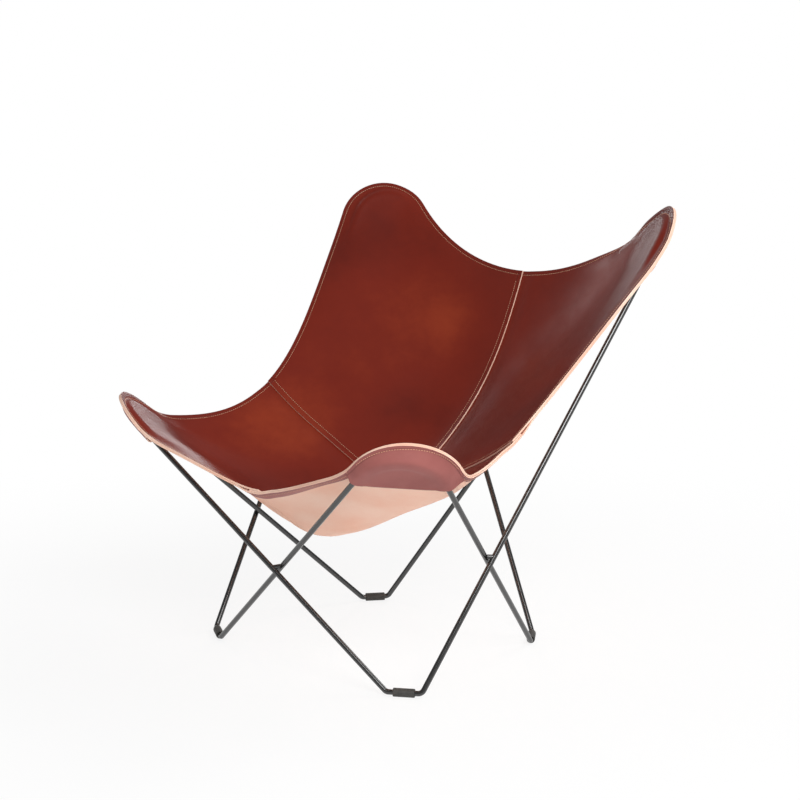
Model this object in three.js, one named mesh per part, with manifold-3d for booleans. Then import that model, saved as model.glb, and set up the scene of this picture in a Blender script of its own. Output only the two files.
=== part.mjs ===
// Butterfly sling chair: two closed loops of bent steel rod, crossed and welded,
// carry a leather sling on four rounded humps. Millimetres, +Z up, the sitter faces -Y.
// Right is +X. The origin lies on the floor under the middle of the chair.
import * as THREE from 'three';
import { mergeVertices } from 'three/addons/utils/BufferGeometryUtils.js';
import Module from 'manifold-3d';

const wasm = await Module();
wasm.setup();

// Steel rod of both loops
const rod = { diameter: 11, buttGap: 0.4, floorBend: 12 };

// Sight corners, where the centrelines of two straight runs would meet
const front = { cornerX: 473, cornerY: -449.7, cornerZ: 608, humpBend: 81.5, footX: 273, footY: -254.7 };
const back = { cornerX: 452, cornerY: 458.3, cornerZ: 1029, humpBend: 62, footX: 232, footY: 181.3 };
const foot = { frontRun: 35.5, backRun: 29.5, frontHeadingDegrees: 33, backHeadingDegrees: 53 };
const loopShift = 7.4;

// Floor sleeves, and the pins welded between crossing legs just above each crossing
const sleeve = { diameter: 17.5, tube: 43, land: 0.3, clearance: 0.3, edgeRound: 1.2 };
const pin = { diameter: 9.5, above: 10.5, clearance: 0.3 };

// Leather. Each seam has one panel that laps over and one that dives under it.
const leather = { panel: 3.4, under: 2.8, gap: 0.35, lap: 22, diveRun: 40, apexTrim: 5 };
const rim = { margin: 33, shift: 8, lift: 0.5, rodSlack: 1.6, rodLand: 4.5, flat: 14, settle: 3 };
const seat = { y: 28.3, creaseDepth: 3, creaseRun: 50 };
const frontPocket = { cornerDown: -35, mouthDown: 2.5, mouthHalf: 88 };
const backPocket = { cornerDown: 9, mouthDown: 47.5, mouthHalf: 88 };
const pocketGap = 1;
const pocketLand = 9;

// How far the leather has curled up off the plane of the rod at each hump: on the side of the
// front or back edge, at the tip and on the side of the side edge
const curl = {
  front_left: { edge: 0, tip: 6.5, side: 9 },
  front_right: { edge: 6.5, tip: 18, side: 12.5 },
  back_left: { edge: 0, tip: 0, side: 0 },
  back_right: { edge: 5, tip: 7.5, side: 0 },
};
const curlSpan = { start: 3, fade: 50, end: 90, fadeDown: -20, endDown: 110 };
const curlTurn = { spanDegrees: 60, widestShare: 1.2 };


// Where the rim arcs end, in degrees from the hump's tip, and how far the corner after them reaches
const rimEndDegrees = { frontEdge: 61, frontSide: 64, backSide: 76, backEdge: 19 };
const cornerReach = { frontEdge: 45, frontSide: 30, backSide: 45, backEdge: 45 };

// Guide points of the free edges on the right half, one or two for each edge
const guide = {
  front: new THREE.Vector3(-24, -383.7, 372),
  sideFront: new THREE.Vector3(327.5, -37.2, 439.5),
  sideBack: new THREE.Vector3(368, 61.3, 557.5),
  back: new THREE.Vector3(137, 391.8, 709.5),
};

// Height of the bowl as shares of bowl.height: rows by even powers of x and columns by powers
// of y, both in spans. What it misses at the outline is added back as a power of the way there.
const bowl = { span: 400, height: 100 };
const bowlShares = [
  [3.348, 1.924, 1.036, 1.326, 0.43, -5.001, 4.639, 6.358, -4.675, -2.434, 1.192],
  [5.16, 1.861, 1.686, -3.3, -7.93, -0.044, 4.309, -0.31, -1.78],
  [-9.204, -0.1, -0.843, 3.698, 5.712, 0.253, 0.955],
  [12.399, -1.506, -1.427, -1.401, -3.505],
  [-7.88, 0.787, 1.902],
  [1.666],
];
const outlinePowerShare = 6;

// Seams
const sideSeamShare = 0.4;
const lapSpreadShare = 0.25;
const radialClearShare = 1.25;
const lateLandingShare = 0.8;

// Mesh fineness
const rodSteps = { sides: 16, floorBend: 4, hump: 14 };
const sleeveSteps = { sides: 24, round: 1 };
const pinSides = 20;
const edgeSteps = { corner: 3, run: 12, rim: 8 };
const outlineSteps = { corner: 24, run: 120, rim: 60 };
const rowShares = [0, 0.035, 0.13, 0.27, 0.42, 0.56, 0.68, 0.78, 0.86, 0.91, 0.949, 0.965, 0.978, 0.989, 1];
const bandRows = { front: 5, right: 5, back: 3, left: 5 };
const mouthSearchSteps = 40;

const rodRadius = rod.diameter / 2;
const axisHeight = sleeve.diameter / 2 - sleeve.land;
const stack = leather.panel / 2 + leather.gap + leather.under / 2;
const layer = leather.panel + leather.gap;
const radians = THREE.MathUtils.degToRad;

// Materials

function material(color, roughness, metalness) {
  return new THREE.MeshStandardMaterial({ color, roughness, metalness });
}
const blackLacquer = () => material(0x1b1a1a, 0.35, 0.6);
const sleevePlastic = () => material(0x33332f, 0.7, 0);
const brownLeather = () => material(0x7d2a1c, 0.42, 0);
const pocketLeather = () => material(0x8a4338, 0.45, 0);

const chair = new THREE.Group();
chair.name = 'butterfly_sling_chair';

function addMesh(name, geometry, surface) {
  const mesh = new THREE.Mesh(geometry, surface);
  mesh.name = name;
  chair.add(mesh);
  return mesh;
}

// Solids: a triangle mesh as a boolean body and back

function toSolid(geometry) {
  const bare = geometry.clone();
  bare.deleteAttribute('normal');
  bare.deleteAttribute('uv');
  const merged = mergeVertices(bare, 1e-4);
  return new wasm.Manifold(new wasm.Mesh({
    numProp: 3,
    vertProperties: new Float32Array(merged.attributes.position.array),
    triVerts: new Uint32Array(merged.index.array),
  }));
}

function toGeometry(solid) {
  const mesh = solid.getMesh();
  const geometry = new THREE.BufferGeometry();
  geometry.setAttribute('position', new THREE.BufferAttribute(mesh.vertProperties, 3));
  geometry.setIndex(new THREE.BufferAttribute(mesh.triVerts, 1));
  return geometry;
}

// Frame layout: each loop has one back hump, one front hump and two feet.
// side is +1 for the loop whose back hump is on the right, and -1 for the other.

function loopPoint(side, x, y, z) {
  return new THREE.Vector3(side * x + side * loopShift, y - side * loopShift, z);
}

function headingVector(side, degrees) {
  const angle = radians(degrees);
  return new THREE.Vector3(side * Math.cos(angle), Math.sin(angle), 0);
}

function loopLayout(side) {
  const frontRun = headingVector(side, foot.frontHeadingDegrees).multiplyScalar(foot.frontRun);
  const backRun = headingVector(side, foot.backHeadingDegrees).multiplyScalar(foot.backRun);
  const frontFoot = loopPoint(side, front.footX, front.footY, axisHeight);
  const backFoot = loopPoint(side, -back.footX, back.footY, axisHeight);
  return {
    frontFoot,
    backFoot,
    frontRun,
    backRun,
    backHump: {
      corner: loopPoint(side, back.cornerX, back.cornerY, back.cornerZ),
      bend: back.humpBend,
      frontFootCorner: frontFoot.clone().add(frontRun),
      backFootCorner: backFoot.clone().add(backRun),
    },
    frontHump: {
      corner: loopPoint(side, -front.cornerX, front.cornerY, front.cornerZ),
      bend: front.humpBend,
      frontFootCorner: frontFoot.clone().sub(frontRun),
      backFootCorner: backFoot.clone().sub(backRun),
    },
  };
}

const loops = { right: loopLayout(1), left: loopLayout(-1) };
const humps = {
  back_right: loops.right.backHump,
  back_left: loops.left.backHump,
  front_left: loops.right.frontHump,
  front_right: loops.left.frontHump,
};

// Bent rod: stations along straight runs and tangent arcs, swept with a round section

class StationPath extends THREE.Curve {
  constructor(stations) {
    super();
    this.stations = stations;
  }
  station(u) {
    return this.stations[Math.round(u * (this.stations.length - 1))];
  }
  getPointAt(u) {
    return this.station(u).point.clone();
  }
  getTangentAt(u) {
    return this.station(u).tangent.clone();
  }
}

function arcStations(before, corner, after, bend, steps) {
  const inward = before.clone().sub(corner).normalize();
  const outward = after.clone().sub(corner).normalize();
  const half = inward.angleTo(outward) / 2;
  const middle = inward.clone().add(outward).normalize();
  const centre = corner.clone().addScaledVector(middle, bend / Math.sin(half));
  const across = outward.clone().sub(inward).normalize();
  const reach = Math.PI / 2 - half;
  return Array.from({ length: steps + 1 }, (unused, i) => {
    const angle = reach * (2 * i / steps - 1);
    return {
      point: centre.clone()
        .addScaledVector(middle, -bend * Math.cos(angle))
        .addScaledVector(across, bend * Math.sin(angle)),
      tangent: middle.clone().multiplyScalar(Math.sin(angle)).addScaledVector(across, Math.cos(angle)),
    };
  });
}

function rodStations(loop, hump) {
  const ends = [
    [loop.frontFoot, hump.frontFootCorner],
    [loop.backFoot, hump.backFootCorner],
  ].map(([middle, corner]) => {
    const direction = corner.clone().sub(middle).normalize();
    return { point: middle.clone().addScaledVector(direction, rod.buttGap / 2), direction };
  });
  const [first, last] = ends;
  return [
    { point: first.point, tangent: first.direction },
    ...arcStations(first.point, hump.frontFootCorner, hump.corner, rod.floorBend, rodSteps.floorBend),
    ...arcStations(hump.frontFootCorner, hump.corner, hump.backFootCorner, hump.bend, rodSteps.hump),
    ...arcStations(hump.corner, hump.backFootCorner, last.point, rod.floorBend, rodSteps.floorBend),
    { point: last.point, tangent: last.direction.clone().negate() },
  ];
}

function bentRod(stations) {
  const section = new THREE.Shape();
  section.absarc(0, 0, rodRadius, 0, 2 * Math.PI);
  return new THREE.ExtrudeGeometry(section, {
    steps: stations.length - 1,
    curveSegments: rodSteps.sides / 2,
    extrudePath: new StationPath(stations),
  });
}

function addRods() {
  for (const [side, loop] of Object.entries(loops)) {
    const other = side === 'right' ? 'left' : 'right';
    addMesh(`rod_back_${side}`, bentRod(rodStations(loop, loop.backHump)), blackLacquer());
    addMesh(`rod_front_${other}`, bentRod(rodStations(loop, loop.frontHump)), blackLacquer());
  }
}

// Floor sleeves: a tube with rounded ends, and a flat land underneath

function sleeveGeometry() {
  const outer = sleeve.diameter / 2;
  const bore = rodRadius + sleeve.clearance;
  const half = sleeve.tube / 2;
  const round = sleeve.edgeRound;
  const profile = new THREE.Path();
  profile.moveTo(bore, -half);
  profile.lineTo(outer - round, -half);
  profile.absarc(outer - round, round - half, round, -Math.PI / 2, 0);
  profile.lineTo(outer, half - round);
  profile.absarc(outer - round, half - round, round, 0, Math.PI / 2);
  profile.lineTo(bore, half);
  profile.lineTo(bore, -half);
  const tube = new THREE.LatheGeometry(profile.getPoints(sleeveSteps.round), sleeveSteps.sides);
  const ground = new THREE.BoxGeometry(2 * sleeve.diameter, 2 * sleeve.tube, sleeve.diameter);
  ground.translate(0, 0, -axisHeight - sleeve.diameter / 2);
  return toGeometry(toSolid(tube).subtract(toSolid(ground)));
}

function addSleeves() {
  for (const [side, loop] of Object.entries(loops)) {
    const other = side === 'right' ? 'left' : 'right';
    const feet = [
      [`sleeve_front_${side}`, loop.frontFoot, loop.frontRun],
      [`sleeve_back_${other}`, loop.backFoot, loop.backRun],
    ];
    for (const [name, centre, run] of feet) {
      const mesh = addMesh(name, sleeveGeometry(), sleevePlastic());
      mesh.position.copy(centre);
      mesh.rotation.z = Math.atan2(run.y, run.x) - Math.PI / 2;
    }
  }
}

// Pins between crossing legs, hollowed to sit on both rods

function legLine(hump, end) {
  const start = hump[end];
  return { start, direction: hump.corner.clone().sub(start).normalize() };
}

function nearestPoints(first, second) {
  const offset = second.start.clone().sub(first.start);
  const cosine = first.direction.dot(second.direction);
  const a = offset.dot(first.direction);
  const b = offset.dot(second.direction);
  const scale = 1 - cosine * cosine;
  return [
    first.start.clone().addScaledVector(first.direction, (a - cosine * b) / scale),
    second.start.clone().addScaledVector(second.direction, (cosine * a - b) / scale),
  ];
}

function cylinderAlong(radius, length, sides, centre, direction) {
  const geometry = new THREE.CylinderGeometry(radius, radius, length, sides);
  const turn = new THREE.Quaternion().setFromUnitVectors(new THREE.Vector3(0, 1, 0), direction);
  geometry.applyQuaternion(turn);
  geometry.translate(centre.x, centre.y, centre.z);
  return geometry;
}

function pinGeometry(first, second) {
  const [p, q] = nearestPoints(first, second).map((point, i) => (
    point.addScaledVector([first, second][i].direction, pin.above)));
  const centre = p.clone().add(q).multiplyScalar(1 / 2);
  const axis = q.clone().sub(p).normalize();
  const groove = (rodRadius + pin.clearance) / Math.cos(Math.PI / rodSteps.sides);
  const reach = 2 * (pin.diameter + rod.diameter);
  const body = toSolid(cylinderAlong(pin.diameter / 2, p.distanceTo(q), pinSides, centre, axis));
  return toGeometry(body
    .subtract(toSolid(cylinderAlong(groove, reach, rodSteps.sides, p, first.direction)))
    .subtract(toSolid(cylinderAlong(groove, reach, rodSteps.sides, q, second.direction))));
}

function addPins() {
  const crossings = {
    weld_front: [humps.front_left, humps.front_right, 'frontFootCorner', 'frontFootCorner'],
    weld_right: [humps.back_right, humps.front_right, 'frontFootCorner', 'backFootCorner'],
    weld_left: [humps.front_left, humps.back_left, 'backFootCorner', 'frontFootCorner'],
    weld_back: [humps.back_right, humps.back_left, 'backFootCorner', 'backFootCorner'],
  };
  for (const [name, [one, two, oneEnd, twoEnd]] of Object.entries(crossings)) {
    addMesh(name, pinGeometry(legLine(one, oneEnd), legLine(two, twoEnd)), blackLacquer());
  }
}

// Hump frames: a plane through both legs, with axes across and down the hump.
// The rim of the leather is an arc round the rod's own bend, a margin outside it.

function humpFrame(hump, edgeEnd, sideEnd, { edge, side, held }, rise) {
  const edgeLeg = hump[edgeEnd].clone().sub(hump.corner).normalize();
  const sideLeg = hump[sideEnd].clone().sub(hump.corner).normalize();
  const half = edgeLeg.angleTo(sideLeg) / 2;
  const down = edgeLeg.clone().add(sideLeg).normalize();
  const across = sideLeg.clone().sub(edgeLeg).normalize();
  const normal = new THREE.Vector3().crossVectors(across, down).normalize();
  if (normal.z < 0) normal.negate();
  const centre = hump.corner.clone().addScaledVector(down, hump.bend / Math.sin(half));
  return {
    half, down, across, normal, centre, bend: hump.bend,
    rimCentre: centre.clone().addScaledVector(across, rim.shift).addScaledVector(normal, rim.lift),
    rimRadius: hump.bend + rim.margin,
    edgeAngle: radians(edge), sideAngle: radians(side), pocket: held, curl: rise,
  };
}

const frontPlan = { edge: rimEndDegrees.frontEdge, side: rimEndDegrees.frontSide, held: frontPocket };
const backPlan = { edge: rimEndDegrees.backEdge, side: rimEndDegrees.backSide, held: backPocket };
const frames = {};
for (const [name, hump] of Object.entries(humps)) {
  frames[name] = name.startsWith('back')
    ? humpFrame(hump, 'backFootCorner', 'frontFootCorner', backPlan, curl[name])
    : humpFrame(hump, 'frontFootCorner', 'backFootCorner', frontPlan, curl[name]);
}

function rimPoint(frame, angle) {
  return frame.rimCentre.clone()
    .addScaledVector(frame.down, -frame.rimRadius * Math.cos(angle))
    .addScaledVector(frame.across, frame.rimRadius * Math.sin(angle));
}

function rimTangent(frame, angle) {
  return frame.down.clone().multiplyScalar(Math.sin(angle)).addScaledVector(frame.across, Math.cos(angle));
}

// Free edge between two humps: a rounded corner at each rim and one long curve between them

function edgeEnd(frame, angle, sign, reach, target) {
  const start = rimPoint(frame, sign * angle);
  const corner = start.clone().addScaledVector(rimTangent(frame, sign * angle), sign * reach);
  const leave = corner.clone().addScaledVector(target.clone().sub(corner).normalize(), reach);
  return { start, corner, leave };
}

function mirrored(point) {
  return new THREE.Vector3(-point.x, point.y, point.z);
}

function freeEdge(from, to, firstGuide, lastGuide, cornerSteps, runSteps) {
  const entry = new THREE.QuadraticBezierCurve3(from.start, from.corner, from.leave);
  const run = new THREE.CubicBezierCurve3(from.leave, firstGuide, lastGuide, to.leave);
  const exit = new THREE.QuadraticBezierCurve3(to.leave, to.corner, to.start);
  return [
    ...entry.getPoints(cornerSteps),
    ...run.getPoints(runSteps).slice(1),
    ...exit.getPoints(cornerSteps).slice(1),
  ];
}

const edgePlans = [
  {
    name: 'front', hump: ['front_left', 'front_right'], sign: [-1, -1],
    guides: [mirrored(guide.front), guide.front],
    angle: [frames.front_left.edgeAngle, frames.front_right.edgeAngle],
    reach: [cornerReach.frontEdge, cornerReach.frontEdge],
  },
  {
    name: 'right', hump: ['front_right', 'back_right'], sign: [1, 1],
    guides: [guide.sideFront, guide.sideBack],
    angle: [frames.front_right.sideAngle, frames.back_right.sideAngle],
    reach: [cornerReach.frontSide, cornerReach.backSide],
  },
  {
    name: 'back', hump: ['back_right', 'back_left'], sign: [-1, -1],
    guides: [guide.back, mirrored(guide.back)],
    angle: [frames.back_right.edgeAngle, frames.back_left.edgeAngle],
    reach: [cornerReach.backEdge, cornerReach.backEdge],
  },
  {
    name: 'left', hump: ['back_left', 'front_left'], sign: [1, 1],
    guides: [mirrored(guide.sideBack), mirrored(guide.sideFront)],
    angle: [frames.back_left.sideAngle, frames.front_left.sideAngle],
    reach: [cornerReach.backSide, cornerReach.frontSide],
  },
];

// Seat centre in plan, from which every part of the sling is measured in polar form

const seatPlan = new THREE.Vector2(0, seat.y);

function polar(x, y) {
  const offset = new THREE.Vector2(x, y).sub(seatPlan);
  return { angle: Math.atan2(offset.y, offset.x), radius: offset.length() };
}

function bowlLevel(x, y) {
  const across = (x / bowl.span) ** 2;
  const along = (y - seat.y) / bowl.span;
  const row = (shares) => shares.reduceRight((sum, share) => sum * along + share, 0);
  return bowl.height * bowlShares.reduceRight((sum, shares) => sum * across + row(shares), 0);
}

function edgeSample(point, name, share) {
  const { angle, radius } = polar(point.x, point.y);
  return { point, angle, radius, missing: point.z - bowlLevel(point.x, point.y), name, share };
}

function edgeLoop({ corner: cornerSteps, run: runSteps, rim: rimSteps }) {
  const samples = [];
  for (const plan of edgePlans) {
    const [one, two] = plan.hump.map((key) => frames[key]);
    const from = edgeEnd(one, plan.angle[0], plan.sign[0], plan.reach[0], plan.guides[0]);
    const to = edgeEnd(two, plan.angle[1], plan.sign[1], plan.reach[1], plan.guides[1]);
    const points = freeEdge(from, to, plan.guides[0], plan.guides[1], cornerSteps, runSteps);
    const along = [0];
    for (let i = 1; i < points.length; i++) along.push(along[i - 1] + points[i].distanceTo(points[i - 1]));
    points.forEach((point, i) => {
      samples.push(edgeSample(point, plan.name, along[i] / along[points.length - 1]));
    });
    const start = plan.sign[1] * plan.angle[1];
    const end = -plan.sign[1] * (plan.sign[1] > 0 ? two.edgeAngle : two.sideAngle);
    for (let i = 1; i < rimSteps; i++) {
      const share = i / rimSteps;
      const point = rimPoint(two, THREE.MathUtils.lerp(start, end, share));
      samples.push(edgeSample(point, plan.hump[1], share));
    }
  }
  return samples;
}

// The outline as a table over the polar angle, finer than any mesh made from it

const outline = edgeLoop(outlineSteps).sort((a, b) => a.angle - b.angle);
const wrapped = [
  { ...outline[outline.length - 1], angle: outline[outline.length - 1].angle - 2 * Math.PI },
  ...outline,
  { ...outline[0], angle: outline[0].angle + 2 * Math.PI },
];

function outlineAt(angle) {
  let low = 0;
  let high = wrapped.length - 1;
  while (high - low > 1) {
    const middle = (low + high) >> 1;
    if (wrapped[middle].angle > angle) {
      high = middle;
    } else {
      low = middle;
    }
  }
  const a = wrapped[low];
  const b = wrapped[high];
  const t = (angle - a.angle) / (b.angle - a.angle);
  const mix = (p, q) => p + (q - p) * t;
  return { radius: mix(a.radius, b.radius), missing: mix(a.missing, b.missing) };
}

// Seams run from the seat centre to the middle of each free edge

function seamDirection(name, share) {
  const candidates = outline.filter((sample) => sample.name === name);
  const nearest = candidates.reduce((best, sample) => (
    Math.abs(sample.share - share) < Math.abs(best.share - share) ? sample : best));
  return nearest.angle;
}

const rightSeamAngle = seamDirection('right', sideSeamShare);
const seamAngles = {
  front: -Math.PI / 2, right: rightSeamAngle, back: Math.PI / 2, left: Math.PI - rightSeamAngle,
};

function seamOffset(x, y, seam) {
  const ray = new THREE.Vector2(Math.cos(seamAngles[seam]), Math.sin(seamAngles[seam]));
  const offset = new THREE.Vector2(x, y).sub(seatPlan);
  const along = offset.dot(ray);
  return along < 0 ? offset.length() : Math.abs(offset.cross(ray));
}

// A point in the frame of a hump: across, down, height over the rod's plane,
// and how far it lies outside the rod's centreline

function humpPlace(frame, point) {
  const offset = point.clone().sub(frame.centre);
  const across = offset.dot(frame.across);
  const down = offset.dot(frame.down);
  const onArc = Math.atan2(Math.abs(across), -down) < Math.PI / 2 - frame.half;
  const reach = onArc
    ? Math.hypot(across, down)
    : Math.abs(across) * Math.cos(frame.half) - down * Math.sin(frame.half);
  return { across, down, height: offset.dot(frame.normal), outside: reach - frame.bend };
}

const smooth = THREE.MathUtils.smoothstep;
const rampEnd = rim.margin - rim.flat;
const clearAbove = rodRadius + rim.rodSlack + leather.panel / 2;
const clearBelow = rodRadius + rim.rodSlack + leather.under / 2;

// How far the leather is pushed off the rods, so that it rests over them

function humpRise(frame, { height, outside }) {
  const missing = clearAbove - height;
  const settled = (missing + Math.hypot(missing, rim.settle)) / 2;
  return settled * (1 - smooth(outside, rim.rodLand, rampEnd));
}

// How far the rim has curled up, from its edge side over its tip to its side edge

function curlRise(frame, { across, down, outside }) {
  const { edge, tip, side } = frame.curl;
  const span = radians(curlTurn.spanDegrees);
  const turn = THREE.MathUtils.clamp(
    Math.atan2(across, -down) / span, -curlTurn.widestShare, curlTurn.widestShare);
  const lift = tip + (side - edge) / 2 * turn + ((side + edge) / 2 - tip) * turn * turn;
  return lift * smooth(outside, curlSpan.start, rim.margin)
    * (1 - smooth(outside, curlSpan.fade, curlSpan.end))
    * (1 - smooth(down, curlSpan.fadeDown, curlSpan.endDown));
}

// The middle layer of the leather over any point in plan: a smooth bowl from the seat centre
// to the outline, with a valley along the seams, pushed off the rods near the humps

function bowlHeight(x, y) {
  const { angle, radius } = polar(x, y);
  const edge = outlineAt(angle);
  const reach = radius / edge.radius;
  const height = bowlLevel(x, y) + edge.missing * reach ** outlinePowerShare;
  const crease = Object.keys(seamAngles).reduce((sum, seam) => (
    sum + Math.exp(-seamOffset(x, y, seam) / seat.creaseRun)), 0);
  return height - seat.creaseDepth * crease * 2 * reach * Math.max(1 - reach, 0);
}

function middlePoint(x, y) {
  const point = new THREE.Vector3(x, y, bowlHeight(x, y));
  const push = new THREE.Vector3();
  for (const frame of Object.values(frames)) {
    const at = humpPlace(frame, point);
    push.addScaledVector(frame.normal, humpRise(frame, at) + curlRise(frame, at));
  }
  return point.add(push);
}

const probe = leather.panel / 4;

function sheetNormal(x, y) {
  const alongX = middlePoint(x + probe, y).sub(middlePoint(x - probe, y));
  const alongY = middlePoint(x, y + probe).sub(middlePoint(x, y - probe));
  return alongX.cross(alongY).normalize();
}

function sheetPlace({ x, y }, offset) {
  const normal = sheetNormal(x, y);
  return { point: middlePoint(x, y).addScaledVector(normal, offset), normal };
}

// How far a layer lies below the top one near a seam, in whole layers

function dive({ x, y }, seam) {
  const start = leather.lap / 2;
  return 1 - smooth(seamOffset(x, y, seam), start, start + leather.diveRun);
}

// A closed sheet from a grid of middle points with their normals

function sheetGeometry(grid, thickness) {
  const rows = grid.length;
  const columns = grid[0].length;
  const positions = [];
  const index = [];
  const half = thickness / 2;
  for (const sign of [1, -1]) {
    for (const row of grid) {
      for (const { point, normal } of row) {
        positions.push(...point.clone().addScaledVector(normal, sign * half).toArray());
      }
    }
  }
  const at = (i, j, under) => (under ? rows * columns : 0) + i * columns + j;
  const quad = (a, b, c, d) => index.push(a, b, c, a, c, d);
  for (let i = 0; i < rows - 1; i++) {
    for (let j = 0; j < columns - 1; j++) {
      quad(at(i, j), at(i + 1, j), at(i + 1, j + 1), at(i, j + 1));
      quad(at(i, j, true), at(i, j + 1, true), at(i + 1, j + 1, true), at(i + 1, j, true));
    }
  }
  for (let i = 0; i < rows - 1; i++) {
    quad(at(i, 0), at(i, 0, true), at(i + 1, 0, true), at(i + 1, 0));
    quad(at(i + 1, columns - 1), at(i + 1, columns - 1, true), at(i, columns - 1, true), at(i, columns - 1));
  }
  for (let j = 0; j < columns - 1; j++) {
    quad(at(0, j + 1), at(0, j + 1, true), at(0, j, true), at(0, j));
    quad(at(rows - 1, j), at(rows - 1, j, true), at(rows - 1, j + 1, true), at(rows - 1, j + 1));
  }
  const geometry = new THREE.BufferGeometry();
  geometry.setAttribute('position', new THREE.Float32BufferAttribute(positions, 3));
  geometry.setIndex(index);
  return dropSlivers(mergeVertices(geometry, 1e-3));
}

function dropSlivers(geometry) {
  const source = geometry.index.array;
  const kept = [];
  for (let i = 0; i < source.length; i += 3) {
    const [a, b, c] = [source[i], source[i + 1], source[i + 2]];
    if (a !== b && b !== c && c !== a) kept.push(a, b, c);
  }
  geometry.setIndex(kept);
  return geometry;
}

// Quarter panels. Columns beside a seam run parallel to it, the rest run out from the centre.
// Columns are in order of polar angle, and panels that lap share them, so their faces stay parallel.

const panelPlans = {
  back_left: { seams: ['back', 'left'], under: [] },
  front_left: { seams: ['left', 'front'], under: ['left'] },
  front_right: { seams: ['front', 'right'], under: ['front', 'right'] },
  back_right: { seams: ['right', 'back'], under: ['back'] },
};
const seamColumns = [-leather.lap / 2, 0, leather.lap / 2, leather.lap / 2 + leather.diveRun];

function angleBetween(angle, start) {
  return (angle - start + 4 * Math.PI) % (2 * Math.PI);
}

// A place beside a seam. Close to the centre the columns draw in to it.

function besideSeam(seam, turn, offset, share) {
  const angle = seamAngles[seam];
  const ray = new THREE.Vector2(Math.cos(angle), Math.sin(angle));
  const aside = new THREE.Vector2(-ray.y, ray.x).multiplyScalar(turn);
  const place = (along) => {
    const spread = offset * Math.min(1, lapSpreadShare * along * 2 / leather.lap);
    return seatPlan.clone().addScaledVector(ray, along).addScaledVector(aside, spread);
  };
  let along = share * outlineAt(angle).radius;
  for (let i = 0; i < 8 && share > 0; i++) {
    const { angle: turned, radius } = polar(...place(along).toArray());
    along *= share * outlineAt(turned).radius / radius;
  }
  return place(along);
}

function radialColumns([first, second]) {
  const start = seamAngles[first];
  const sweep = angleBetween(seamAngles[second], start);
  const widest = seamColumns[seamColumns.length - 1];
  const clear = (angle, seam) => (
    Math.sin(Math.min(angleBetween(angle, seamAngles[seam]), angleBetween(seamAngles[seam], angle)))
      * outlineAt(seamAngles[seam]).radius > widest * radialClearShare);
  return edgeLoop(edgeSteps)
    .map((sample) => ({ ...sample, turned: angleBetween(sample.angle, start) }))
    .filter(({ turned }) => turned > 0 && turned < sweep)
    .filter(({ angle }) => clear(angle, first) && clear(angle, second))
    .sort((a, b) => a.turned - b.turned)
    .map(({ angle, point }) => ({
      edgePoint: point,
      place: (share) => seatPlan.clone().addScaledVector(
        new THREE.Vector2(Math.cos(angle), Math.sin(angle)), share * outlineAt(angle).radius),
    }));
}

function panelColumns(plan) {
  const [first, second] = plan.seams;
  const beside = (seam, turn) => seamColumns.map((offset) => ({
    place: (share) => besideSeam(seam, turn, offset, share),
  }));
  return [...beside(first, 1), ...radialColumns(plan.seams), ...beside(second, -1).reverse()];
}

function panelApex(plan) {
  const start = seamAngles[plan.seams[0]];
  const middle = start + angleBetween(seamAngles[plan.seams[1]], start) / 2;
  const out = new THREE.Vector2(Math.cos(middle), Math.sin(middle));
  return seatPlan.clone().addScaledVector(out, plan.under.length > 0 ? leather.apexTrim : 0);
}

function panelGeometry(plan) {
  const columns = panelColumns(plan);
  const apex = panelApex(plan);
  const grid = rowShares.map((share) => columns.map(({ place }) => {
    const spot = share === 0 ? apex : place(share);
    const depth = plan.under.reduce((sum, seam) => sum + dive(spot, seam), 0);
    return sheetPlace(spot, -layer * depth);
  }));
  return sheetGeometry(grid, leather.panel);
}

function addPanels() {
  for (const [name, plan] of Object.entries(panelPlans)) {
    addMesh(`panel_${name}`, panelGeometry(plan), brownLeather());
  }
}

// Corner pockets: each is joined to its panel along the rim, passes under the rods
// and ends in a nearly straight mouth, where the two legs come out

function pocketColumns(name) {
  const columns = panelColumns(panelPlans[name]);
  const frame = frames[name];
  const held = frame.pocket.cornerDown;
  const inside = ({ edgePoint }) => edgePoint && humpPlace(frame, edgePoint).down < held;
  return { columns, first: columns.findIndex(inside), last: columns.findLastIndex(inside) };
}

function mouthPoints({ mouthHalf, mouthDown }, from, to, count) {
  const half = Math.sign(to.across) * mouthHalf;
  const path = new THREE.Path();
  path.moveTo(from.across, from.down);
  path.quadraticCurveTo(-half, mouthDown, -half / 2, mouthDown);
  path.lineTo(half / 2, mouthDown);
  path.quadraticCurveTo(half, mouthDown, to.across, to.down);
  const closerAtEnds = (i) => (1 - Math.cos(Math.PI * i / (count - 1))) / 2;
  return Array.from({ length: count }, (unused, i) => path.getPointAt(closerAtEnds(i)));
}

// One column of a pocket from its rim to its mouth: joined, ramping down beside the rod, then flat

function pocketColumn(frame, rimPlaces, mouth) {
  const start = humpPlace(frame, rimPlaces[1].point);
  const at = (share) => {
    const across = THREE.MathUtils.lerp(start.across, mouth.x, share);
    const down = THREE.MathUtils.lerp(start.down, mouth.y, share);
    const flat = frame.centre.clone().addScaledVector(frame.across, across).addScaledVector(frame.down, down);
    const { outside } = humpPlace(frame, flat);
    const ramp = (start.outside - outside) / (start.outside - pocketLand);
    const height = THREE.MathUtils.lerp(start.height, -clearBelow, THREE.MathUtils.clamp(ramp, 0, 1));
    return { outside, point: flat.addScaledVector(frame.normal, height), normal: frame.normal };
  };
  const shares = Array.from({ length: mouthSearchSteps }, (unused, i) => (i + 1) / mouthSearchSteps);
  const landing = shares.find((share) => at(share).outside < pocketLand && share < 1) ?? lateLandingShare;
  return [at(1), at((1 + landing) / 2), at(landing), ...rimPlaces.slice().reverse()];
}

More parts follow.
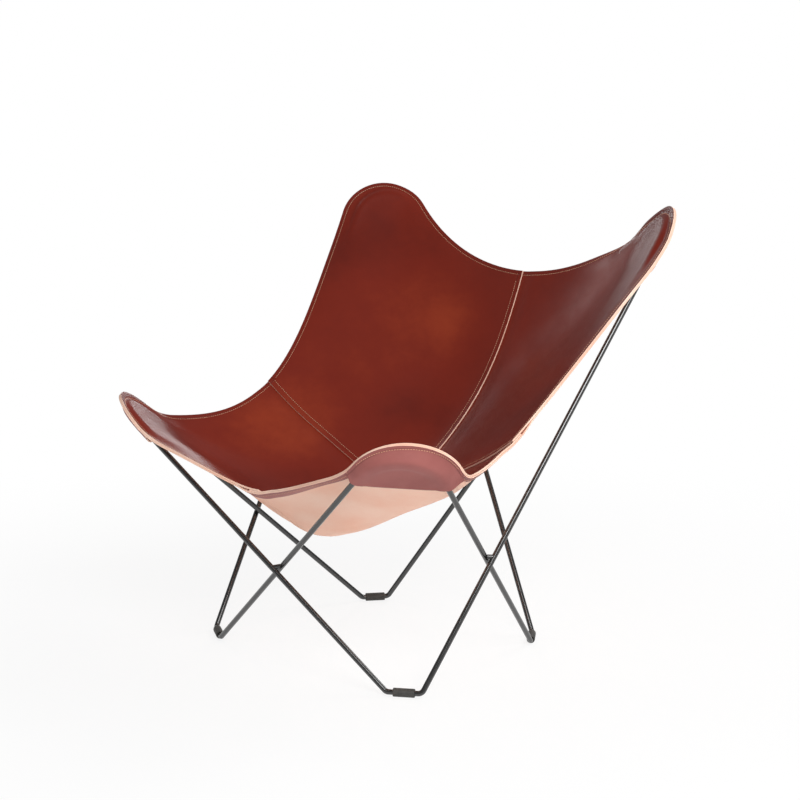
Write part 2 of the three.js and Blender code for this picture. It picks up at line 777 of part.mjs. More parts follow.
function pocketGeometry(name) {
  const frame = frames[name];
  const { columns, first, last } = pocketColumns(name);
  const used = columns.slice(first, last + 1);
  const [, , inner, second, rimShare] = rowShares.slice(-5);
  const mouthEnd = ({ place }) => humpPlace(frame, sheetPlace(place(inner), -stack).point);
  const ends = [used[0], used[used.length - 1]].map(mouthEnd);
  const mouths = mouthPoints(frame.pocket, ends[0], ends[1], used.length);
  const grid = used.map(({ place }, i) => (
    pocketColumn(frame, [rimShare, second].map((share) => sheetPlace(place(share), -stack)), mouths[i])));
  const rows = grid[0].map((unused, i) => grid.map((column) => column[i]));
  return sheetGeometry(rows, leather.under);
}

function addPockets() {
  for (const name of Object.keys(frames)) addMesh(`pocket_${name}`, pocketGeometry(name), pocketLeather());
}

// Bands: a second layer under each free edge, from one pocket to the next

function bandGeometry(seam, before, after) {
  const from = pocketColumns(before);
  const to = pocketColumns(after);
  const columns = [
    ...from.columns.slice(from.last, -1),
    ...to.columns.slice(2, to.first + 1),
  ];
  const grid = rowShares.slice(-bandRows[seam]).map((share) => {
    const row = columns.map(({ place }) => {
      const spot = place(share);
      return sheetPlace(spot, -stack - layer * dive(spot, seam));
    });
    shorten(row, 0, 1);
    shorten(row, row.length - 1, row.length - 2);
    return row;
  });
  return sheetGeometry(grid, leather.under);
}

function shorten(row, end, next) {
  const share = pocketGap / row[end].point.distanceTo(row[next].point);
  row[end] = {
    point: row[end].point.clone().lerp(row[next].point, share),
    normal: row[end].normal.clone().lerp(row[next].normal, share),
  };
}

function addBands() {
  const neighbours = {
    front: ['front_left', 'front_right'],
    right: ['front_right', 'back_right'],
    back: ['back_right', 'back_left'],
    left: ['back_left', 'front_left'],
  };
  for (const [seam, [before, after]] of Object.entries(neighbours)) {
    addMesh(`band_${seam}`, bandGeometry(seam, before, after), pocketLeather());
  }
}

addRods();
addSleeves();
addPins();
addPanels();
addPockets();
addBands();

export default chair;
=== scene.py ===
import math
from types import SimpleNamespace

import bpy
import numpy as np
from mathutils import Matrix, Vector


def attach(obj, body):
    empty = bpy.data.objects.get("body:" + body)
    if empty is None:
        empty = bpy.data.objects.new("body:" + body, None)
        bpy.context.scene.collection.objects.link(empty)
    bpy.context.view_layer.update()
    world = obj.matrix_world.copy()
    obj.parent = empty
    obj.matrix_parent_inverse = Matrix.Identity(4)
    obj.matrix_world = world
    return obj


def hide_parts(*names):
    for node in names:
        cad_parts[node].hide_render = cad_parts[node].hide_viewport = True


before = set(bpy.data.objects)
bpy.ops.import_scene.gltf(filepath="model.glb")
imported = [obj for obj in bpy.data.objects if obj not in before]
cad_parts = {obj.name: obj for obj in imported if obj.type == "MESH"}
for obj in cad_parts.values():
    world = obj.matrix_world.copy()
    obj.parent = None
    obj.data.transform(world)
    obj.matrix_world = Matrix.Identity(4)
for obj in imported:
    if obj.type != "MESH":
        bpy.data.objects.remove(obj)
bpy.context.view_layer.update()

# The chair is worked out in millimetres, as its solids are, and made in metres.
MM = 0.001

# Steel rod, floor sleeves and the leather's thicknesses
ROD_RADIUS = 5.5
ROD_BUTT_GAP = 0.4
FLOOR_BEND = 12
SLEEVE = SimpleNamespace(radius=8.75, length=43, land=0.3, bore=5.8, round=1.2, bore_round=0.5, sides=64)
LEATHER = SimpleNamespace(panel=3.4, under=2.8, gap=0.35, lap=22, dive_run=40, apex_trim=0.5)

# Where the straight runs of rod would meet, on the right half
FRONT = SimpleNamespace(x=473, y=-449.7, z=608, bend=81.5, foot_x=273, foot_y=-254.7)
BACK = SimpleNamespace(x=452, y=458.3, z=1029, bend=62, foot_x=232, foot_y=181.3)
FOOT = SimpleNamespace(front_run=35.5, back_run=29.5, front_heading=33, back_heading=53)
LOOP_SHIFT = 7.4

# The sling: rims round the humps, free edges between them and the bowl inside
RIM = SimpleNamespace(margin=33, shift=8, lift=0.5, slack=1.6, land=4.5, flat=14, settle=3)
RIM_END = SimpleNamespace(front_edge=61, front_side=64, back_side=76, back_edge=19)
CORNER_REACH = SimpleNamespace(front_edge=45, front_side=30, back_side=45, back_edge=45)
GUIDE = SimpleNamespace(
    front=np.array([-24, -383.7, 372.0]),
    side_front=np.array([327.5, -37.2, 439.5]),
    side_back=np.array([368, 61.3, 557.5]),
    back=np.array([137, 391.8, 709.5]),
)
SEAT = SimpleNamespace(y=28.3, crease_depth=3, crease_run=50)
SIDE_SEAM_SHARE = SimpleNamespace(right=0.35, left=0.4)

# The bowl's height as shares of BOWL.height: rows by even powers of x, columns by powers of y
BOWL = SimpleNamespace(span=400, height=100, fit_power=6)
BOWL_SHARES = [
    [3.348, 1.924, 1.036, 1.326, 0.43, -5.001, 4.639, 6.358, -4.675, -2.434, 1.192],
    [5.16, 1.861, 1.686, -3.3, -7.93, -0.044, 4.309, -0.31, -1.78],
    [-9.204, -0.1, -0.843, 3.698, 5.712, 0.253, 0.955],
    [12.399, -1.506, -1.427, -1.401, -3.505],
    [-7.88, 0.787, 1.902],
    [1.666],
]

LAP_SPREAD = 0.16
FRONT_POCKET = SimpleNamespace(corner_down=-35, mouth_down=2.5, mouth_half=88)
BACK_POCKET = SimpleNamespace(corner_down=9, mouth_down=47.5, mouth_half=88)
POCKET_GAP = 1
POCKET_LAND = 9

# How far each hump's rim has curled off the plane of its rod: towards the front or back edge, at its tip and
# towards the side edge. The last value is for the shoulder by the front or back edge.
CURL = {
    "front_left": (0, 6.5, 9, 0), "front_right": (6.5, 18, 12.5, 0),
    "back_left": (0, 0, 0, 0), "back_right": (4, 6, 0, -13),
}
CURL_SPAN = SimpleNamespace(degrees=60, widest_share=1.2, start=3, fade=50, end=90, fade_down=-20,
                            end_down=110, shoulder_start=60, shoulder_end=98, hang_start=10, hang_end=56)

# Trim on the leather
STITCH = SimpleNamespace(inset=9, pitch=5, length=3.6, width=1.25, height=1.3)
ROD_PRINT = SimpleNamespace(height=0.5, width=6.5, fade=60, end=130, level=40, level_fade=10)
POCKET_FORM = SimpleNamespace(corner_share=0.965, rows=34, hollow=2.6, hollow_start=7, hollow_end=22,
                              print=0.6, print_at=1, print_width=5)

# How finely rods, outline, panels, seams and bands are divided
ROD_STEPS = SimpleNamespace(round=32, floor_bend=12, hump=40)
OUTLINE_STEPS, PANEL_STEPS = (24, 120, 60), (8, 44, 30)
RADIAL_CLEAR = 1.1
SETTLING_ROUNDS = 12
SEAM_STEPS = SimpleNamespace(start=0.06, count=120)
BAND_ROWS = 8

# Flat sizes in metres: the share of its square that a panel fills, a pocket's rectangle and the share that it
# fills, and a band's strip and mean width
FLAT = SimpleNamespace(panel_fill=0.62, pocket_width=0.26, pocket_fill=0.75, band_width=0.03, band_mean=0.028)
FAR_FROM_SEAM = 200.0
EASED = SimpleNamespace(width=0.45, segments=2, angle=60, smooth_angle=50)

AXIS_HEIGHT = SLEEVE.radius - SLEEVE.land
STACK = LEATHER.panel / 2 + LEATHER.gap + LEATHER.under / 2
LAYER = LEATHER.panel + LEATHER.gap
CLEAR_ABOVE = ROD_RADIUS + RIM.slack + LEATHER.panel / 2
CLEAR_BELOW = ROD_RADIUS + RIM.slack + LEATHER.under / 2
RAMP_END = RIM.margin - RIM.flat
CENTRE = np.array([0, SEAT.y])
TURN = 2 * math.pi


def unit(v):
    return v / np.linalg.norm(v)


def units(rows):
    return rows / np.linalg.norm(rows, axis=-1, keepdims=True)


def ray_at(angle):
    return np.array([math.cos(angle), math.sin(angle)])


def smooth(value, low, high):
    t = np.clip((value - low) / (high - low), 0, 1)
    return t * t * (3 - 2 * t)


def mix(a, b, share):
    return a + (b - a) * share


# Frame layout. side is +1 for the loop whose back hump is on the right, and -1 for the other.

def loop_point(side, x, y, z):
    return np.array([side * x + side * LOOP_SHIFT, y - side * LOOP_SHIFT, z], float)


def heading(side, degrees, length):
    a = math.radians(degrees)
    return np.array([side * math.cos(a), math.sin(a), 0]) * length


def loop_layout(side):
    front_foot = loop_point(side, FRONT.foot_x, FRONT.foot_y, AXIS_HEIGHT)
    back_foot = loop_point(side, -BACK.foot_x, BACK.foot_y, AXIS_HEIGHT)
    front_run = heading(side, FOOT.front_heading, FOOT.front_run)
    back_run = heading(side, FOOT.back_heading, FOOT.back_run)
    back_hump = SimpleNamespace(
        corner=loop_point(side, BACK.x, BACK.y, BACK.z), bend=BACK.bend,
        front=front_foot + front_run, back=back_foot + back_run)
    front_hump = SimpleNamespace(
        corner=loop_point(side, -FRONT.x, FRONT.y, FRONT.z), bend=FRONT.bend,
        front=front_foot - front_run, back=back_foot - back_run)
    return SimpleNamespace(
        front_foot=front_foot, back_foot=back_foot, front_run=front_run, back_run=back_run,
        back_hump=back_hump, front_hump=front_hump)


LOOPS = {"right": loop_layout(1), "left": loop_layout(-1)}
HUMPS = {
    "back_right": LOOPS["right"].back_hump,
    "back_left": LOOPS["left"].back_hump,
    "front_left": LOOPS["right"].front_hump,
    "front_right": LOOPS["left"].front_hump,
}


def hump_frame(hump, edge_foot, side_foot, edge_end, side_end, pocket, curl):
    edge_leg = unit(edge_foot - hump.corner)
    side_leg = unit(side_foot - hump.corner)
    half = math.acos(edge_leg @ side_leg) / 2
    down = unit(edge_leg + side_leg)
    across = unit(side_leg - edge_leg)
    normal = unit(np.cross(across, down))
    if normal[2] < 0:
        normal = -normal
    centre = hump.corner + down * hump.bend / math.sin(half)
    return SimpleNamespace(
        half=half, down=down, across=across, normal=normal, centre=centre, bend=hump.bend,
        pocket=pocket, curl=curl,
        rim_centre=centre + across * RIM.shift + normal * RIM.lift,
        rim_radius=hump.bend + RIM.margin,
        edge_end=math.radians(edge_end), side_end=math.radians(side_end))


def framed(name):
    hump, end, curl = HUMPS[name], RIM_END, CURL[name]
    if name.startswith("back"):
        return hump_frame(hump, hump.back, hump.front, end.back_edge, end.back_side, BACK_POCKET, curl)
    return hump_frame(hump, hump.front, hump.back, end.front_edge, end.front_side, FRONT_POCKET, curl)


FRAMES = {name: framed(name) for name in HUMPS}


def rim_point(hump, angle):
    return (hump.rim_centre - hump.down * hump.rim_radius * math.cos(angle)
            + hump.across * hump.rim_radius * math.sin(angle))


# Outline of the sling as a closed row of points, each with the edge or hump it is on and how far along. Each
# edge runs from one hump to the next, past one seam of the same name.

def bezier(points, steps):
    t = np.linspace(0, 1, steps + 1)[:, None]
    order = len(points) - 1
    return sum(math.comb(order, i) * t**i * (1 - t)**(order - i) * np.array(p, float)
               for i, p in enumerate(points))


def lengths(path):
    return np.r_[0, np.cumsum(np.linalg.norm(np.diff(path, axis=0), axis=1))]


def at_lengths(path, spots):
    along = lengths(path)
    return np.stack([np.interp(spots, along, path[:, i]) for i in range(path.shape[1])], -1)


def edge_end(hump, angle, sign, reach, target):
    start = rim_point(hump, sign * angle)
    tangent = hump.down * math.sin(sign * angle) + hump.across * math.cos(sign * angle)
    corner = start + tangent * sign * reach
    return start, corner, corner + unit(target - corner) * reach


def mirrored(point):
    return point * np.array([-1, 1, 1])


EDGES = {
    "front": ("front_left", "front_right", -1, CORNER_REACH.front_edge, CORNER_REACH.front_edge,
              mirrored(GUIDE.front), GUIDE.front),
    "right": ("front_right", "back_right", 1, CORNER_REACH.front_side, CORNER_REACH.back_side,
              GUIDE.side_front, GUIDE.side_back),
    "back": ("back_right", "back_left", -1, CORNER_REACH.back_edge, CORNER_REACH.back_edge,
             GUIDE.back, mirrored(GUIDE.back)),
    "left": ("back_left", "front_left", 1, CORNER_REACH.back_side, CORNER_REACH.front_side,
             mirrored(GUIDE.side_back), mirrored(GUIDE.side_front)),
}


def polar(xy):
    offset = xy - CENTRE
    return np.arctan2(offset[..., 1], offset[..., 0]), np.hypot(offset[..., 0], offset[..., 1])


def edge_loop(corner_steps, run_steps, rim_steps):
    rows = []
    for name, (one, two, sign, reach_one, reach_two, guide_one, guide_two) in EDGES.items():
        first, last = FRAMES[one], FRAMES[two]
        ends = [(hump.side_end if sign > 0 else hump.edge_end) for hump in (first, last)]
        start = edge_end(first, ends[0], sign, reach_one, guide_one)
        finish = edge_end(last, ends[1], sign, reach_two, guide_two)
        points = np.vstack([
            bezier(start, corner_steps),
            bezier([start[2], guide_one, guide_two, finish[2]], run_steps)[1:],
            bezier(finish[::-1], corner_steps)[1:],
        ])
        along = lengths(points)
        rows += [(point, name, share) for point, share in zip(points, along / along[-1])]
        begin = sign * ends[1]
        end = -sign * (last.edge_end if sign > 0 else last.side_end)
        for i in range(1, rim_steps):
            rows.append((rim_point(last, mix(begin, end, i / rim_steps)), two, i / rim_steps))
    rows.sort(key=lambda row: polar(row[0][:2])[0])
    return rows


OUTLINE = edge_loop(*OUTLINE_STEPS)
OUTLINE_POINTS = np.array([row[0] for row in OUTLINE])
OUTLINE_ANGLE, OUTLINE_RADIUS = polar(OUTLINE_POINTS[:, :2])


def around(values):
    return np.r_[values[-1], values, values[0]]


ROUND_ANGLE = np.r_[OUTLINE_ANGLE[-1] - TURN, OUTLINE_ANGLE, OUTLINE_ANGLE[0] + TURN]
ROUND_RADIUS = around(OUTLINE_RADIUS)


def outline_radius(angle):
    return np.interp(angle, ROUND_ANGLE, ROUND_RADIUS)


def edge_angle(name, share):
    rows = [row for row in OUTLINE if row[1] == name]
    nearest = min(rows, key=lambda row: abs(row[2] - share))
    return float(polar(nearest[0][:2])[0])


SEAMS = {
    "front": -math.pi / 2,
    "right": edge_angle("right", SIDE_SEAM_SHARE.right),
    "back": math.pi / 2,
    "left": math.pi - edge_angle("right", SIDE_SEAM_SHARE.left),
}


def seam_offset(xy, seam):
    ray = ray_at(SEAMS[seam])
    offset = xy - CENTRE
    along = offset @ ray
    aside = np.abs(offset[..., 0] * ray[1] - offset[..., 1] * ray[0])
    return np.where(along < 0, np.hypot(offset[..., 0], offset[..., 1]), aside)


# The middle of the leather over any point in plan, pushed off the rods near the humps

def hump_place(hump, points):
    offset = points - hump.centre
    across = offset @ hump.across
    down = offset @ hump.down
    on_arc = np.arctan2(np.abs(across), -down) < math.pi / 2 - hump.half
    legs = np.abs(across) * math.cos(hump.half) - down * math.sin(hump.half)
    reach = np.where(on_arc, np.hypot(across, down), legs)
    return across, down, offset @ hump.normal, reach - hump.bend


def curl_rise(hump, across, down, outside):
    degrees = np.degrees(np.arctan2(across, -down))
    turn = np.clip(degrees / CURL_SPAN.degrees, -CURL_SPAN.widest_share, CURL_SPAN.widest_share)
    edge, tip, side, shoulder = hump.curl
    lift = tip + (side - edge) / 2 * turn + ((side + edge) / 2 - tip) * turn**2
    hang = shoulder * smooth(-degrees, CURL_SPAN.shoulder_start, CURL_SPAN.shoulder_end)
    lift = (lift * smooth(outside, CURL_SPAN.start, RIM.margin)
            + hang * smooth(outside, CURL_SPAN.hang_start, CURL_SPAN.hang_end))
    return (lift * (1 - smooth(outside, CURL_SPAN.fade, CURL_SPAN.end))
            * (1 - smooth(down, CURL_SPAN.fade_down, CURL_SPAN.end_down)))


def rod_print(down, outside):
    fade = 1 - smooth(down, ROD_PRINT.fade, ROD_PRINT.end)
    return ROD_PRINT.height * fade * np.exp(-(outside / ROD_PRINT.width) ** 2)


def bowl(xy):
    across = (xy[..., 0] / BOWL.span) ** 2
    along = (xy[..., 1] - SEAT.y) / BOWL.span
    return BOWL.height * sum(np.polynomial.polynomial.polyval(along, row) * across**i
                             for i, row in enumerate(BOWL_SHARES))


ROUND_FIT = around(OUTLINE_POINTS[:, 2] - bowl(OUTLINE_POINTS[:, :2]))


def bowl_height(xy):
    angle, radius = polar(xy)
    reach = radius / outline_radius(angle)
    crease = sum(np.exp(-seam_offset(xy, seam) / SEAT.crease_run) for seam in SEAMS)
    return (bowl(xy) + np.interp(angle, ROUND_ANGLE, ROUND_FIT) * reach**BOWL.fit_power
            - SEAT.crease_depth * crease * 2 * reach * np.maximum(1 - reach, 0))


def middle(xy):
    points = np.concatenate([xy, bowl_height(xy)[..., None]], axis=-1)
    push = np.zeros_like(points)
    for hump in FRAMES.values():
        across, down, height, outside = hump_place(hump, points)
        missing = CLEAR_ABOVE - height
        settled = (missing + np.hypot(missing, RIM.settle)) / 2
        rise = settled * (1 - smooth(outside, RIM.land, RAMP_END))
        near = np.exp(-np.maximum(np.abs(height) - ROD_PRINT.level, 0) / ROD_PRINT.level_fade)
        curl = curl_rise(hump, across, down, outside)
        push += hump.normal * (rise + curl + rod_print(down, outside) * near)[..., None]
    return points + push


def sheet(xy, depth=0):
    """Points a depth below the middle of the leather, and the leather's normals there."""
    probe = LEATHER.panel / 4
    x, y = np.array([probe, 0]), np.array([0, probe])
    normal = units(np.cross(middle(xy + x) - middle(xy - x), middle(xy + y) - middle(xy - y)))
    return middle(xy) - normal * np.asarray(depth)[..., None], normal


def dive(xy, seam):
    start = LEATHER.lap / 2
    return 1 - smooth(seam_offset(xy, seam), start, start + LEATHER.dive_run)


def dive_depth(xy, seams):
    return sum((dive(xy, seam) for seam in seams), np.zeros(xy.shape[:-1])) * LAYER


# Quarter panels: the seams that each runs between, and where it dives under its neighbour
PANELS = {
    "back_left": (("back", "left"), ()),
    "front_left": (("left", "front"), ("left",)),
    "front_right": (("front", "right"), ("front", "right")),
    "back_right": (("right", "back"), ("back",)),
}
LAP_COLUMNS = [-11, -10, -6, 0, 6, 11, 17, 24, 32, 41, 51]
INNER_ROWS = [0, 0.035] + list(np.linspace(0.07, 0.78, 22))
RIM_INSETS = [96, 88, 80, 72, 65, 58, 52, 47, 43, 39, 36, 33, 30, 27, 24, 21, 18, 15,
              12.5, 10.5, 9, 7.5, 5.5, 3, 1, 0]
USUAL_REACH = 480
ROWS = np.array(INNER_ROWS + [1 - inset / USUAL_REACH for inset in RIM_INSETS])
BAND_SHARE = {"front": 0.949, "right": 0.949, "back": 0.978, "left": 0.949}


def turned(angle, start):
    return (angle - start) % TURN


def wrapped(angle):
    return (angle + math.pi) % TURN - math.pi


def beside_seam(seam, turn, offset, shares):
    angle = SEAMS[seam]
    ray = ray_at(angle)
    aside = np.array([-ray[1], ray[0]]) * turn

    def spot(along):
        spread = offset * np.minimum(1, LAP_SPREAD * along * 2 / LEATHER.lap)
        return CENTRE + along[:, None] * ray + spread[:, None] * aside

    along = shares * outline_radius(angle)
    for _ in range(SETTLING_ROUNDS):
        at, radius = polar(spot(along))
        along = np.where(shares > 0, along * shares * outline_radius(at) / np.maximum(radius, 1e-6), 0)
    return spot(along)


def radial(angle, shares):
    return CENTRE + shares[:, None] * outline_radius(angle) * ray_at(angle)


def panel_columns(name):
    """Columns from the first seam to the second. Each has its kind, its seam or angle, the side of the seam
    and how far from it, and for a radial one its point on the outline."""
    (first, second), _ = PANELS[name]
    sweep = turned(SEAMS[second], SEAMS[first])
    widest = LAP_COLUMNS[-1]

    def clear(angle, seam):
        gap = min(turned(angle, SEAMS[seam]), turned(SEAMS[seam], angle))
        return math.sin(gap) * outline_radius(SEAMS[seam]) > widest * RADIAL_CLEAR

    inside = []
    for row in edge_loop(*PANEL_STEPS):
        angle = float(polar(row[0][:2])[0])
        along = turned(angle, SEAMS[first])
        if 0 < along < sweep and clear(angle, first) and clear(angle, second):
            inside.append((along, angle, row[0]))
    inside.sort(key=lambda column: column[0])
    return ([("beside", first, 1, offset, None) for offset in LAP_COLUMNS]
            + [("radial", angle, None, None, point) for _, angle, point in inside]
            + [("beside", second, -1, offset, None) for offset in reversed(LAP_COLUMNS)])


def grid_places(columns, shares):
    return np.stack([
        beside_seam(where, turn, offset, shares) if kind == "beside" else radial(where, shares)
        for kind, where, turn, offset, _ in columns], axis=1)


def fan_out(places, shares, start):
    """Spreads the radial columns between those beside both seams, so that none cross near the middle."""
    count = len(LAP_COLUMNS)
    angles = turned(polar(places)[0], start)
    low, high = angles[:, count - 1].copy(), angles[:, -count].copy()
    low[0], high[0] = low[1], high[1]
    part = (angles[-1, count:-count] - low[-1]) / (high[-1] - low[-1])
    fan = wrapped(start + low[:, None] + part * (high - low)[:, None])
    rays = np.stack([np.cos(fan), np.sin(fan)], axis=-1)
    reach = shares[:, None] * outline_radius(fan)
    places[:, count:-count] = CENTRE + reach[..., None] * rays


def panel_grid(name):
    seams, under = PANELS[name]
    places = grid_places(panel_columns(name), ROWS)
    fan_out(places, ROWS, SEAMS[seams[0]])
    if under:
        half = turned(SEAMS[seams[1]], SEAMS[seams[0]]) / 2
        places[0] += ray_at(SEAMS[seams[0]] + half) * LEATHER.apex_trim
    points, normals = sheet(places, dive_depth(places, under))
    return places, points, normals


# Distances that the leather's finish and stitches follow

EDGE_LINE = middle(OUTLINE_POINTS[:, :2])


def edge_distance(points):
    flat = points.reshape(-1, 3)
    out = np.empty(len(flat))
    for i in range(0, len(flat), 2000):
        part = flat[i:i + 2000, None, :] - EDGE_LINE[None, :, :]
        out[i:i + 2000] = np.sqrt((part**2).sum(-1).min(1))
    return out.reshape(points.shape[:-1])


def seam_distance(places):
    return np.min([seam_offset(places, seam) for seam in SEAMS], axis=0)


# Meshes

def mode(name):
    bpy.ops.object.mode_set(mode=name)


def new_object(name, data):
    obj = bpy.data.objects.new(name, data)
    bpy.context.collection.objects.link(obj)
    return obj


def only(obj):
    bpy.ops.object.select_all(action="DESELECT")
    obj.select_set(True)
    bpy.context.view_layer.objects.active = obj


def face_outwards(obj):
    only(obj)
    mode("EDIT")
    bpy.ops.mesh.select_all(action="SELECT")
    bpy.ops.mesh.remove_doubles(threshold=1e-6)
    bpy.ops.mesh.normals_make_consistent(inside=False)
    mode("OBJECT")


def dress(obj, material):
    obj.data.materials.clear()
    obj.data.materials.append(material)


def finish_piece(obj, name, material, angle=35):
    face_outwards(obj)
    bpy.ops.object.transform_apply()
    dress(obj, material)
    bpy.ops.object.shade_smooth_by_angle(angle=math.radians(angle))
    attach(obj, "root")
    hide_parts(name)


def apply_modifiers(obj):
    only(obj)
    for modifier in list(obj.modifiers):
        bpy.ops.object.modifier_apply(modifier=modifier.name)


def leather_sheet(name, points, normals, thickness, materials, seam):
    """A closed sheet from a grid of its middle layer, with materials for its top, underside and cut edges.
    Its attributes say how far each point is from the free edge and from the nearest seam."""
    rows, columns = points.shape[:2]
    top = points + normals * thickness / 2
    bottom = points - normals * thickness / 2
    vertices = np.concatenate([top.reshape(-1, 3), bottom.reshape(-1, 3)]) * MM
    index = np.arange(rows * columns).reshape(rows, columns)
    under = index + rows * columns
    quads = [
        np.stack([index[:-1, :-1], index[1:, :-1], index[1:, 1:], index[:-1, 1:]], -1).reshape(-1, 4),
        np.stack([under[:-1, :-1], under[:-1, 1:], under[1:, 1:], under[1:, :-1]], -1).reshape(-1, 4),
    ]
    ring = np.concatenate([index[0, :-1], index[:-1, -1], index[-1, :0:-1], index[:0:-1, 0]])
    following = np.roll(ring, -1)
    quads.append(np.stack([ring, following, following + rows * columns, ring + rows * columns], -1))
    counts = [len(q) for q in quads]
    mesh = bpy.data.meshes.new(name)
    mesh.from_pydata(vertices.tolist(), [], np.concatenate(quads).tolist())
    for key, value in (("edge_mm", edge_distance(points)), ("seam_mm", seam)):
        attribute = mesh.attributes.new(key, "FLOAT", "POINT")
        attribute.data.foreach_set("value", np.tile(value.reshape(-1), 2).astype(np.float32))
    mesh.polygons.foreach_set("material_index", np.repeat([0, 1, 2], counts).astype(np.int32))
    for material in materials:
        mesh.materials.append(material)
    obj = new_object(name, mesh)
    face_outwards(obj)
    bevel = obj.modifiers.new("eased_edges", "BEVEL")
    bevel.width = EASED.width * MM
    bevel.segments = EASED.segments
    bevel.limit_method = "ANGLE"
    bevel.angle_limit = math.radians(EASED.angle)
    apply_modifiers(obj)
    bpy.ops.object.shade_smooth_by_angle(angle=math.radians(EASED.smooth_angle))
    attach(obj, "root")
    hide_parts(name)
    return obj, grid_area(points)


def grid_area(points):
    a = np.cross(points[1:, :-1] - points[:-1, :-1], points[:-1, 1:] - points[:-1, :-1])
    b = np.cross(points[1:, :-1] - points[1:, 1:], points[:-1, 1:] - points[1:, 1:])
    return float((np.linalg.norm(a, axis=-1) + np.linalg.norm(b, axis=-1)).sum() / 2) * MM * MM


# Materials

def srgb(r, g, b):
    def linear(c):
        c /= 255
        return c / 12.92 if c <= 0.04045 else ((c + 0.055) / 1.055) ** 2.4
    return (linear(r), linear(g), linear(b), 1)


def feed(tree, inputs, values):
    for key, value in values.items():
        if isinstance(value, bpy.types.NodeSocket):
            tree.links.new(value, inputs[key])
        else:
            inputs[key].default_value = value


def add(tree, kind, spot, inputs=None, **settings):
    node = tree.nodes.new(kind)
    node.location = spot
    for key, value in settings.items():
        setattr(node, key, value)
    feed(tree, node.inputs, inputs or {})
    return node


def maths(tree, operation, spot, *values):
    return add(tree, "ShaderNodeMath", spot, dict(enumerate(values)), operation=operation).outputs[0]


def blend_colour(tree, spot, share, a, b):
    return add(tree, "ShaderNodeMix", spot, {0: share, 6: a, 7: b}, data_type="RGBA").outputs[2]


def object_place(tree, spot):
    return add(tree, "ShaderNodeTexCoord", spot).outputs["Object"]


def noise(tree, spot, place, scale, detail, roughness, **more):
    inputs = {"Vector": place, "Scale": scale, "Detail": detail, "Roughness": roughness}
    return add(tree, "ShaderNodeTexNoise", spot, inputs | more).outputs["Fac"]


def ranged(tree, spot, value, source, target=(0.0, 1.0), kind="LINEAR"):
    keys = ("Value", "From Min", "From Max", "To Min", "To Max")
    inputs = dict(zip(keys, (value, *source, *target)))
    return add(tree, "ShaderNodeMapRange", spot, inputs, interpolation_type=kind).outputs[0]


def bumped(tree, spot, height, strength, distance, normal=None, invert=False):
    inputs = {"Height": height, "Strength": strength, "Distance": distance}
    if normal is not None:
        inputs["Normal"] = normal
    return add(tree, "ShaderNodeBump", spot, inputs, invert=invert).outputs[0]


def node_group(name, inputs, outputs):
    tree = bpy.data.node_groups.new(name, "ShaderNodeTree")
    for key, (kind, value) in inputs.items():
        socket = tree.interface.new_socket(key, in_out="INPUT", socket_type=kind)
        socket.default_value = value
    for key, kind in outputs.items():
        tree.interface.new_socket(key, in_out="OUTPUT", socket_type=kind)
    start = add(tree, "NodeGroupInput", (-1200, 0))
    end = add(tree, "NodeGroupOutput", (900, 0))
    return tree, start.outputs, end.inputs


FLOAT, COLOUR = "NodeSocketFloat", "NodeSocketColor"


def hide_tone_group():
    """Cloudy tone of dyed leather, darker in patches, with a finer mottle."""
    black = (0, 0, 0, 1)
    tree, given, out = node_group(
        "hide_tone",
        {"Dark": (COLOUR, black), "Middle": (COLOUR, black), "Light": (COLOUR, black),
         "Cloud scale": (FLOAT, 3.2), "Mottle": (FLOAT, 0.16)},
        {"Color": COLOUR, "Cloud": FLOAT})
    place = object_place(tree, (-1200, -300))
    cloud = noise(tree, (-900, 200), place, given["Cloud scale"], 2.0, 0.4, Distortion=0.3)
    mottle = noise(tree, (-900, -100), place, 38.0, 4.0, 0.6)
    centred = maths(tree, "SUBTRACT", (-800, -100), mottle, 0.5)
    shifted = maths(tree, "MULTIPLY", (-700, -100), centred, given["Mottle"])
    tone = maths(tree, "ADD", (-500, 100), cloud, shifted)
    low = ranged(tree, (-300, 200), tone, (0.22, 0.52), kind="SMOOTHSTEP")
    high = ranged(tree, (-300, -50), tone, (0.48, 0.8), kind="SMOOTHSTEP")
    dark = blend_colour(tree, (0, 200), low, given["Dark"], given["Middle"])
    colour = blend_colour(tree, (250, 100), high, dark, given["Light"])
    feed(tree, out, {"Color": colour, "Cloud": tone})
    return tree


def hide_grain_group():
    """Pores and fine creases of smooth leather, as a height."""
    tree, given, out = node_group(
        "hide_grain", {"Pore scale": (FLOAT, 900.0), "Crease": (FLOAT, 0.5)},
        {"Height": FLOAT, "Fine": FLOAT})
    place = object_place(tree, (-1200, -300))
    warp = add(tree, "ShaderNodeTexNoise", (-1000, 0), {"Vector": place, "Scale": 120.0, "Detail": 2.0})
    moved = add(tree, "ShaderNodeVectorMath", (-800, 0), {0: warp.outputs["Color"], 1: (0.004, 0.004, 0.004)},
                operation="MULTIPLY").outputs[0]
    spot = add(tree, "ShaderNodeVectorMath", (-650, 0), {0: place, 1: moved}, operation="ADD").outputs[0]
    pores = add(tree, "ShaderNodeTexVoronoi", (-450, 150), {"Vector": spot, "Scale": given["Pore scale"]},
                feature="DISTANCE_TO_EDGE").outputs["Distance"]
    cells = maths(tree, "MINIMUM", (-250, 150), maths(tree, "MULTIPLY", (-350, 150), pores, 4.0), 1.0)
    creases = noise(tree, (-450, -150), spot, 260.0, 5.0, 0.65)
    folds = maths(tree, "MULTIPLY", (-150, -150), creases, given["Crease"])
    feed(tree, out, {"Height": maths(tree, "ADD", (0, 0), cells, folds), "Fine": creases})
    return tree


